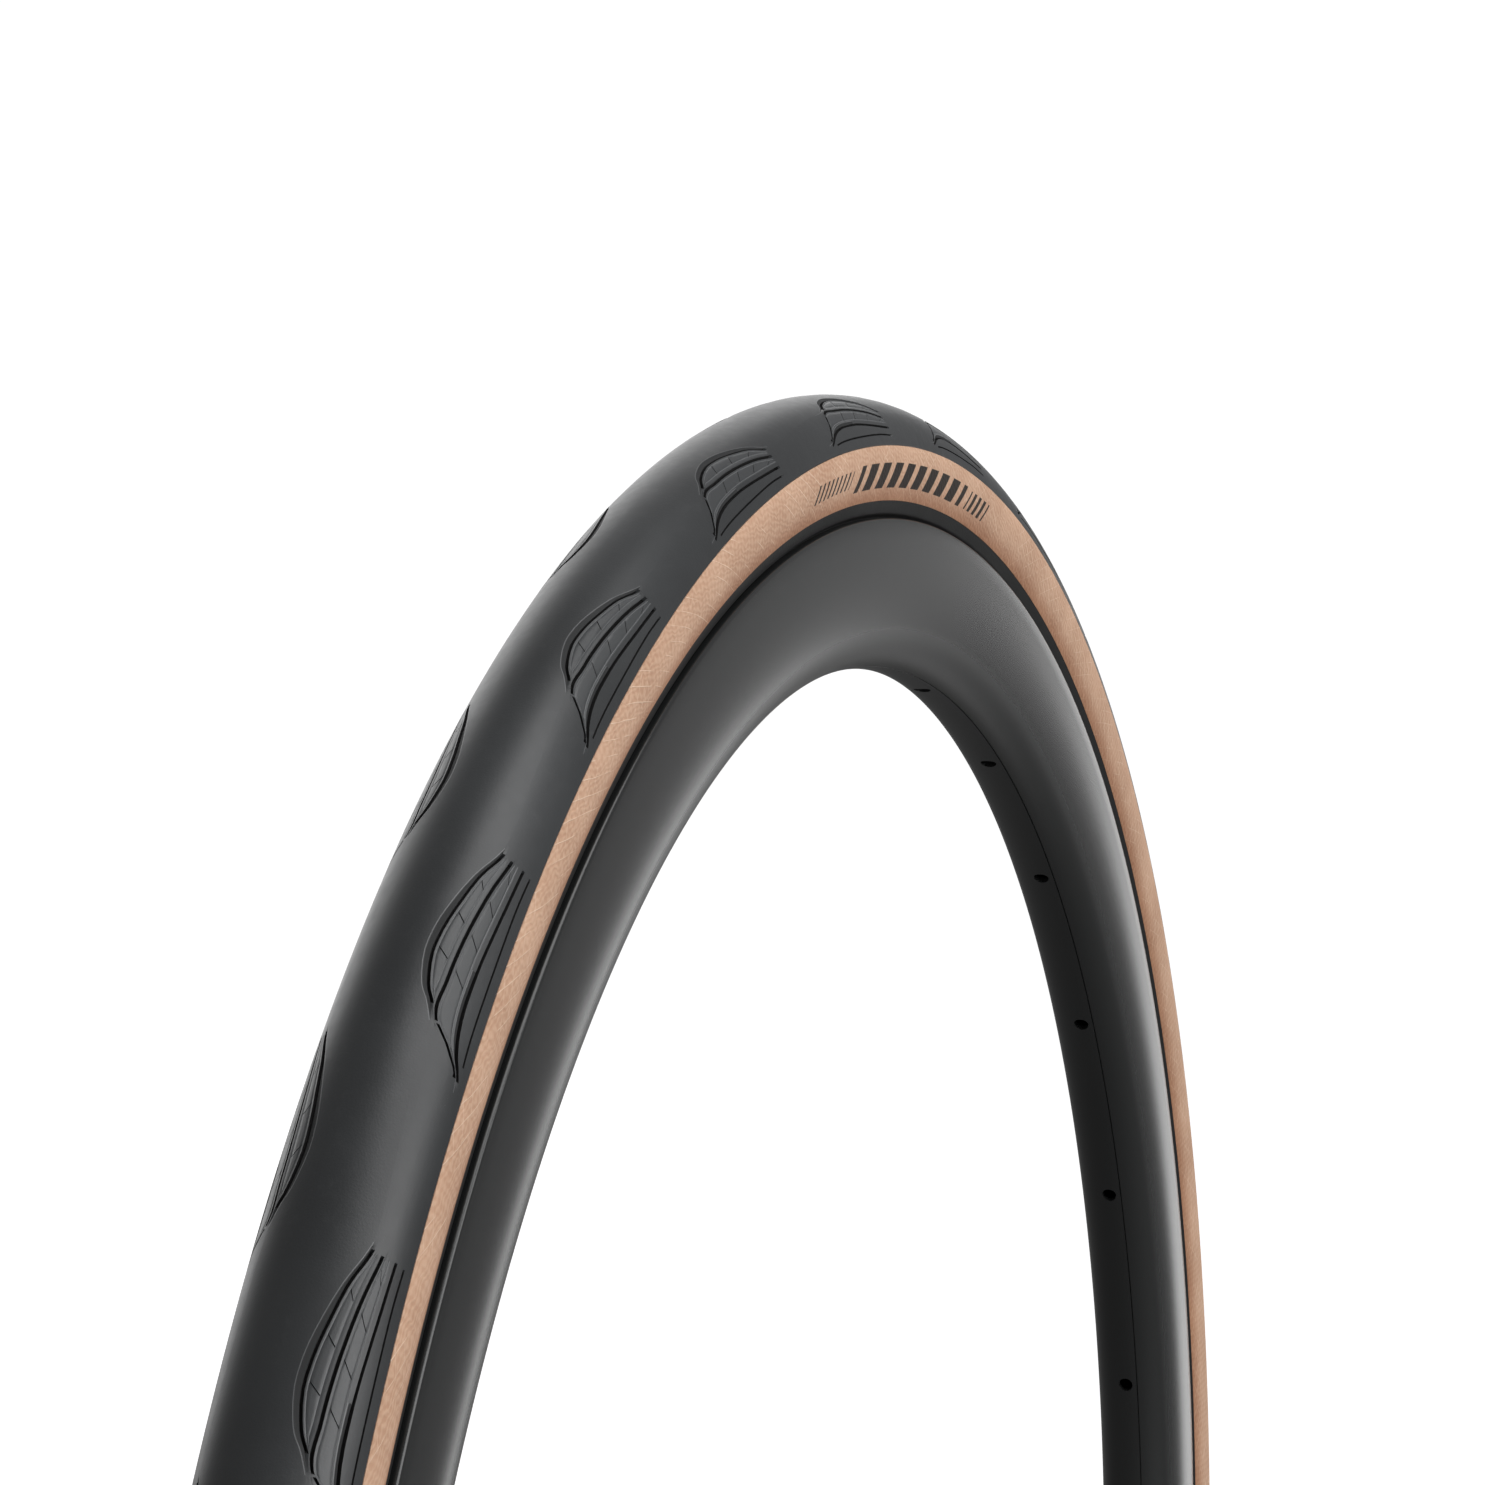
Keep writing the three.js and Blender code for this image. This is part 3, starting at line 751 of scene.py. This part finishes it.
def drill(angle, radius, low, high, sides=24):
    """A closed cylinder along the wheel's radius, as points and faces."""
    turns = np.linspace(0, 2 * math.pi, sides, endpoint=False)
    out = np.array([math.cos(angle), 0, math.sin(angle)])
    side = np.array([-math.sin(angle), 0, math.cos(angle)])
    circle = radius * (np.cos(turns)[:, None] * side + np.sin(turns)[:, None] * np.array([0, 1, 0]))
    points = np.concatenate([circle + out * low, circle + out * high])
    faces = [tuple(range(sides)), tuple(range(2 * sides - 1, sides - 1, -1))]
    faces += [(k, k + sides, (k + 1) % sides + sides, (k + 1) % sides) for k in range(sides)]
    return points, faces


def build_rim():
    rim = ring("rim_laminate", rim_outline(), 504)
    cavity = ring("rim_cavity", rim_cavity(), 504)
    points, faces, count = [], [], 0
    holes = [(VALVE_ANGLE, VALVE_HOLE_RADIUS, *THROUGH_RIM)]
    for k in range(SPOKE_COUNT):
        angle = VALVE_ANGLE + 360 / SPOKE_COUNT * (k + 0.5)
        holes.append((angle, SPOKE_HOLE_RADIUS, *THROUGH_BED))
        holes.append((angle, ACCESS_HOLE_RADIUS, *THROUGH_CHANNEL))
    for angle, radius, low, high in holes:
        p, f = drill(math.radians(angle), radius, low, high)
        points.append(p)
        faces += [tuple(v + count for v in face) for face in f]
        count += len(p)
    mesh = bpy.data.meshes.new("rim_drills")
    mesh.from_pydata(np.concatenate(points).tolist(), [], faces)
    drills = bpy.data.objects.new("rim_drills", mesh)
    bpy.context.scene.collection.objects.link(drills)
    for cutter in (cavity, drills):
        cut = rim.modifiers.new("cut", "BOOLEAN")
        cut.operation, cut.object, cut.solver = "DIFFERENCE", cutter, "EXACT"
        bpy.context.view_layer.update()
        bpy.context.view_layer.objects.active = rim
        bpy.ops.object.modifier_apply(modifier="cut")
        bpy.data.objects.remove(cutter)
    rim.data.set_sharp_from_angle(angle=math.radians(35))
    return rim


# ---------------------------------------------------------------- valve


def turning(name, profile, sides=64, shape=None):
    """Turns a closed outline of (radius, height) around the valve axis. shape(radius, height,
    angle) may change the radius, for threads and knurls."""
    profile = np.asarray(profile, float)
    r, z = profile[:, 0], profile[:, 1]
    if np.sum(r * np.roll(z, -1) - np.roll(r, -1) * z) < 0:
        r, z = r[::-1], z[::-1]
    turns = np.linspace(0, 2 * math.pi, sides, endpoint=False)
    radius = np.tile(r, (sides, 1))
    height = np.tile(z, (sides, 1))
    if shape:
        radius = shape(radius, height, turns[:, None])
    verts = np.stack([radius * np.cos(turns)[:, None], radius * np.sin(turns)[:, None], height], -1)
    faces, _, _ = grid_faces(sides, len(r))
    flip = np.stack([faces[:, 0], faces[:, 3], faces[:, 2], faces[:, 1]], 1)
    obj = mesh_object(name, verts.reshape(-1, 3), flip)
    obj.data.set_sharp_from_angle(angle=math.radians(38))
    return obj


def thread(pitch, depth, low, high, core):
    """Cuts a thread between two heights into whatever is wider than the core radius."""

    def shape(radius, height, angle):
        wave = np.abs(((height / pitch + angle / (2 * math.pi)) % 1) * 2 - 1)
        on = (height > low) & (height < high) & (radius > core)
        return np.where(on, radius - depth * wave, radius)

    return shape


def knurl(count, depth, low, high, core):
    """Grooves along the axis between two heights, on whatever is wider than the core radius."""

    def shape(radius, height, angle):
        wave = np.abs(((angle / (2 * math.pi) * count) % 1) * 2 - 1)
        on = (height > low) & (height < high) & (radius > core)
        return np.where(on, radius - depth * wave, radius)

    return shape


def stacked(radius, low, high, step):
    """Points up one straight side, close enough together for a thread."""
    return [(radius, z) for z in np.linspace(low, high, int(round((high - low) / step)) + 1)]


# The neck ends this far inside the bead seat, and the core's pocket is this deep, in mm
NECK_BELOW_SEAT = 3
CORE_POCKET = 22


def build_valve(black, brass_look, rubber):
    """The valve's finer pieces, drawn in mm between the ends of the CAD nodes they replace."""
    low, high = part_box("valve_stem")
    stem = [(1.2, low.z / MM + 0.2), (3.0, low.z / MM), (3.4, low.z / MM + 0.3), (3.4, low.z / MM + 0.8)]
    neck_end = -(SEAT_RADIUS / MM - NECK_BELOW_SEAT)
    tip = high.z / MM
    stem += [(2.0, low.z / MM + 0.8), (2.0, neck_end), (2.6, neck_end), (2.9, neck_end + 0.4)]
    stem += stacked(2.9, neck_end + 0.6, tip - 0.4, 0.16) + [(2.5, tip), (1.9, tip)]
    stem += [(1.9, tip - CORE_POCKET), (1.2, tip - CORE_POCKET)]
    shape = thread(0.8 * MM, 0.28 * MM, (neck_end + 1) * MM, (tip - 0.5) * MM, 2.5 * MM)
    piece = turning("stem_threaded", np.array(stem) * MM, 48, shape)
    place(piece, "wheel", "brass", black, "valve_stem")

    low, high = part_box("lock_nut")
    a, b = low.z / MM, high.z / MM
    nut = [(3.25, a + 0.3), (3.6, a), (5.2, a), (5.6, a + 0.35), (5.6, b - 1.3), (5.35, b - 1.0),
           (4.6, b - 0.15), (4.4, b), (3.6, b), (3.25, b - 0.3)]
    shape = knurl(30, 0.32 * MM, (a + 0.1) * MM, (b - 1.15) * MM, 5.3 * MM)
    piece = turning("lock_nut_knurled", np.array(nut) * MM, 240, shape)
    place(piece, "lock_nut", "black_metal", black, "lock_nut")

    low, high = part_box("lock_nut_ring")
    middle, half = (low.z + high.z) / 2 / MM, (high.z - low.z) / 2 / MM
    turns = np.linspace(0, 2 * math.pi, 17)[:-1]
    o_ring = [(3.95 + 0.62 * math.cos(t), middle + half * math.sin(t)) for t in turns]
    piece = turning("lock_nut_o_ring", np.array(o_ring) * MM)
    place(piece, "lock_nut", "black_rubber", rubber, "lock_nut_ring")

    low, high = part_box("core_body")
    a, b = low.z / MM, high.z / MM
    core = [(0.8, a), (1.4, a), (1.6, a + 0.3), (1.6, tip + 0.3), (2.3, tip + 0.3), (2.5, tip + 0.5),
            (2.5, b - 1.7), (2.3, b - 1.4), (1.75, b - 0.9), (1.7, b - 0.15), (1.5, b), (0.8, b)]

    def flats(radius, height, angle):
        limit = 2.1 * MM / np.maximum(np.abs(np.cos(angle)), 0.2)
        on = (radius > 2 * MM) & (height > (tip + 0.4) * MM)
        return np.where(on, np.minimum(radius, limit), radius)

    piece = turning("core_body_turned", np.array(core) * MM, 96, flats)
    place(piece, "wheel", "brass", brass_look, "core_body")

    low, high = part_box("core_pin")
    a, b = low.z / MM, high.z / MM
    pin = [(0.02, a), (1.2, a), (1.3, a + 0.1), (1.3, a + 0.7), (0.5, a + 0.8)]
    pin += stacked(0.5, b - 8, b - 0.4, 0.1) + [(0.35, b), (0.02, b)]
    shape = thread(0.35 * MM, 0.09 * MM, (b - 7.6) * MM, (b - 0.5) * MM, 0.4 * MM)
    piece = turning("core_pin_threaded", np.array(pin) * MM, 32, shape)
    place(piece, "core_pin", "brass", brass_look, "core_pin")

    low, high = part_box("core_nut")
    a, b = low.z / MM, high.z / MM
    nut = [(0.8, a), (1.7, a), (2.0, a + 0.25), (2.0, b - 0.9), (1.6, b - 0.3), (1.4, b), (0.8, b)]
    shape = knurl(18, 0.16 * MM, a * MM, (b - 0.8) * MM, 1.8 * MM)
    piece = turning("core_nut_knurled", np.array(nut) * MM, 144, shape)
    place(piece, "core_nut", "brass", brass_look, "core_nut")

    low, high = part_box("dust_cap")
    a, b = low.z / MM, high.z / MM
    cap = [(3.3, a), (3.95, a), (4.1, a + 0.2), (4.1, a + 11.6), (3.95, a + 12.2), (3.2, b - 1.2),
           (2.9, b - 0.4), (2.5, b), (0.02, b), (0.02, b - 1.1), (2.4, b - 1.2), (3.25, a + 12)]
    shape = knurl(32, 0.22 * MM, (a + 0.8) * MM, (a + 11.4) * MM, 3.9 * MM)
    cap_line = cap[:3] + [(4.1, a + 0.9)] + cap[3:]
    piece = turning("dust_cap_knurled", np.array(cap_line) * MM, 256, shape)
    place(piece, "dust_cap", "black_metal", black, "dust_cap")


# ---------------------------------------------------------------- assembly


def dress(node, material):
    """Gives a CAD node that stays visible its material."""
    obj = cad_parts[node]
    obj.data.materials.clear()
    obj.data.materials.append(material)


def build_wheel():
    rubber = black_rubber()
    aramid = yarn("aramid_yarn", (0.62, 0.45, 0.12, 1))
    place(build_tread(), "wheel", "tread_rubber", tread_rubber(), "tread")
    wall = sidewall_outline()
    strip = rim_strip_outline()
    for side, flip, printed in (("near", mirrored, True), ("far", list, False)):
        skin = ring(f"tan_skin_{side}", flip(wall), 1080)
        place(skin, "wheel", "tan_skin", tan_cloth(printed), f"sidewall_skin_{side}")
        band = ring(f"rim_band_{side}", flip(strip), 720)
        place(band, "wheel", "black_rubber", rubber, f"rim_strip_{side}")
        dress(f"bead_core_{side}", aramid)
    place(build_rim(), "wheel", "carbon", carbon_clear_coat(), "rim")
    dress("breaker_strip", aramid)
    dress("casing_ply", yarn("casing_yarn", (0.30, 0.22, 0.16, 1)))
    dress("inner_liner", black_rubber("liner_rubber", 0.02))
    dress("rim_tape", metal("tape_film", (0.05, 0.12, 0.22, 1), 0.35, 0.0))
    dress("valve_plug", rubber)
    dress("core_seal", rubber)
    black = metal("black_anodised", (0.03, 0.03, 0.033, 1), 0.3)
    brass = metal("brass_turned", (0.62, 0.46, 0.2, 1), 0.22)
    build_valve(black, brass, rubber)


# ---------------------------------------------------------------- studio


def only_for_the_camera(obj):
    """A stage piece that shows behind the object but neither lights it nor mirrors in it."""
    obj.visible_diffuse = obj.visible_glossy = obj.visible_transmission = False


# The paper backdrop: sizes in metres and how much each part glows
FLOOR_HALF = 14
FLOOR_GLOW = 0.86
DOME_RADIUS = 13.5
DOME_GLOW = 1.05


def build_backdrop():
    """A pale floor and a pale dome round it."""
    floor_height = cad_box[0].z - 0.0005
    corners = np.array([(-1, -1, 0), (1, -1, 0), (1, 1, 0), (-1, 1, 0)], float) * FLOOR_HALF
    corners[:, 2] = floor_height
    floor = mesh_object("floor", corners, np.array([[0, 1, 2, 3]]))
    n = Nodes("floor_paper")
    n.set(color=(0.5, 0.5, 0.5, 1), roughness=0.9, specular=0.1)
    n.shader.inputs["Emission Color"].default_value = (1, 1, 1, 1)
    n.shader.inputs["Emission Strength"].default_value = FLOOR_GLOW
    floor.data.materials.append(n.material)
    rows, columns = 24, 48
    up = np.linspace(-0.2, math.pi / 2 - 0.01, rows)[:, None]
    turn = np.linspace(0, 2 * math.pi, columns, endpoint=False)[None, :]
    shape = [np.cos(up) * np.cos(turn), np.cos(up) * np.sin(turn), np.sin(up) + 0 * turn]
    faces, _, _ = grid_faces(rows, columns, close_rows=False)
    dome = mesh_object("dome", np.stack(shape, -1).reshape(-1, 3) * DOME_RADIUS, faces)
    n = Nodes("dome_paper")
    n.set(color=(0, 0, 0, 1), specular=0.0)
    n.shader.inputs["Emission Color"].default_value = (1, 1, 1, 1)
    n.shader.inputs["Emission Strength"].default_value = DOME_GLOW
    dome.data.materials.append(n.material)
    for piece in (floor, dome):
        only_for_the_camera(piece)
    dome.visible_shadow = False


WALL_STRENGTH = 1.8


def build_world():
    """Dim all round and a little dimmer below, with one wide white wall behind the wheel."""
    world = bpy.data.worlds.new("studio")
    bpy.context.scene.world = world
    world.use_nodes = True
    tree = world.node_tree

    def node(kind, **settings):
        made = tree.nodes.new(kind)
        for key, value in settings.items():
            setattr(made, key, value)
        return made

    def calc(operation, *values):
        made = node("ShaderNodeMath", operation=operation)
        for socket, value in zip(made.inputs, values):
            if isinstance(value, bpy.types.NodeSocket):
                tree.links.new(value, socket)
            else:
                socket.default_value = value
        return made.outputs[0]

    def soft_step(value, low, high, start, end):
        made = node("ShaderNodeMapRange", interpolation_type="SMOOTHSTEP")
        tree.links.new(value, made.inputs["Value"])
        for key, item in zip(("From Min", "From Max", "To Min", "To Max"), (low, high, start, end)):
            made.inputs[key].default_value = item
        return made.outputs[0]

    split = node("ShaderNodeSeparateXYZ")
    tree.links.new(node("ShaderNodeTexCoord").outputs["Generated"], split.inputs[0])
    x, y, z = split.outputs
    heading = calc("ARCTAN2", y, x)
    wall = calc("MULTIPLY", soft_step(heading, -0.04, 0.26, 0, 1), soft_step(heading, 1.4, 1.1, 0, 1))
    wall = calc("MULTIPLY", wall, soft_step(z, 0.9, 0.5, 0, 1))
    wall = calc("MULTIPLY", wall, soft_step(z, -0.15, 0.05, 0, 1))
    dim = soft_step(z, -0.15, 0.1, 0.2, 0.28)
    strength = calc("MAXIMUM", dim, calc("MULTIPLY", wall, WALL_STRENGTH))
    tree.links.new(strength, tree.nodes["Background"].inputs["Strength"])
    tree.nodes["Background"].inputs["Color"].default_value = (1, 1, 1, 1)


def area_light(name, place_at, look_at, size, power):
    light = bpy.data.lights.new(name, "AREA")
    light.shape = "RECTANGLE"
    light.size, light.size_y = size
    light.energy = power
    obj = bpy.data.objects.new(name, light)
    obj.location = place_at
    obj.rotation_euler = (Vector(look_at) - Vector(place_at)).to_track_quat("-Z", "Y").to_euler()
    obj.visible_camera = False
    bpy.context.scene.collection.objects.link(obj)


# Places in metres, and the lens in mm on a sensor 36 mm wide
CAMERA_AT = Vector((-0.80476, -0.24238, 0.21901))
CAMERA_TARGET = Vector((-0.09754, 0.0, 0.25849))
CAMERA_UP = Vector((-0.0946, 0.0, 0.9955))
CAMERA_LENS = 89.96
SENSOR_WIDTH = 36


def build_camera():
    data = bpy.data.cameras.new("photo_view")
    data.lens = CAMERA_LENS
    data.sensor_width = SENSOR_WIDTH
    camera = bpy.data.objects.new("photo_view", data)
    ahead = (CAMERA_TARGET - CAMERA_AT).normalized()
    right = ahead.cross(CAMERA_UP).normalized()
    up = right.cross(ahead)
    turn = Matrix((right, up, -ahead)).transposed().to_4x4()
    camera.matrix_world = Matrix.Translation(CAMERA_AT) @ turn
    data.clip_start = 0.01
    bpy.context.scene.collection.objects.link(camera)
    bpy.context.scene.camera = camera


build_wheel()
build_backdrop()
build_world()
area_light("overhead", (-0.35, -0.85, 1.8), (-0.1, 0, 0), (1.3, 1.2), 16)
area_light("right", (0.62, -0.085, 0.15), (0, -0.085, 0.15), (0.09, 0.5), 0.22)
area_light("front", (-0.5, -2.1, 0.85), (0, 0, 0.1), (1.6, 1.6), 33)
build_camera()
bpy.context.scene.view_settings.view_transform = "Standard"
